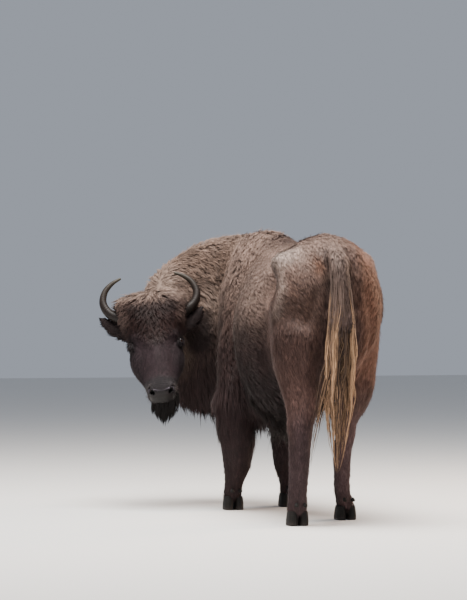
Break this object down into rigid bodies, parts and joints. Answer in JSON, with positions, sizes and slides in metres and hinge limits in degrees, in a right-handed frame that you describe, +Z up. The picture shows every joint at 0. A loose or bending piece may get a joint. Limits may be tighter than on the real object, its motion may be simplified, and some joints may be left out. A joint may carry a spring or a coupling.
{
  "type": "wisent figure",
  "caption": "Life-size still wisent cow on all fours, neck bent round to the left and head turned to look back, with horns, beard and tasselled tail.",
  "frame": {"origin": "on the ground, under the middle of the animal's bounding box", "axes": "+Z up, the body faces -Y and the tail is towards +Y, the animal's left side is +X, the head looks back towards +Y"},
  "size_m": [1.1206, 1.954, 1.49],
  "materials": {
    "coat": "dense rough hair, matte",
    "mane": "long crinkled hair with frosted tips, matte",
    "dark_coat": "short and shaggy dark hair, matte",
    "tail_hair": "long coarse strands",
    "muzzle": "bare damp skin",
    "horn": "smooth horn, ringed at the base",
    "hoof": "worn dark horn",
    "eye": "wet and glossy"
  },
  "bodies": {
    "root": {"beard": "dark_coat", "dewclaw_fore_L_a": "hoof", "dewclaw_fore_L_b": "hoof", "dewclaw_fore_R_a": "hoof", "dewclaw_fore_R_b": "hoof", "dewclaw_hind_L_a": "hoof", "dewclaw_hind_L_b": "hoof", "dewclaw_hind_R_a": "hoof", "dewclaw_hind_R_b": "hoof", "ear_L": "dark_coat", "ear_R": "dark_coat", "eye_L": "eye", "eye_R": "eye", "foreleg_L": "dark_coat", "foreleg_R": "dark_coat", "head": "mane", "hindleg_L": "dark_coat", "hindleg_R": "dark_coat", "hoof_fore_L_a": "hoof", "hoof_fore_L_b": "hoof", "hoof_fore_R_a": "hoof", "hoof_fore_R_b": "hoof", "hoof_hind_L_a": "hoof", "hoof_hind_L_b": "hoof", "hoof_hind_R_a": "hoof", "hoof_hind_R_b": "hoof", "horn_L": "horn", "horn_R": "horn", "muzzle": "muzzle", "neck": "mane", "tail": "tail_hair", "tassel": "tail_hair", "trunk": "coat"}
  },
  "joints": []
}
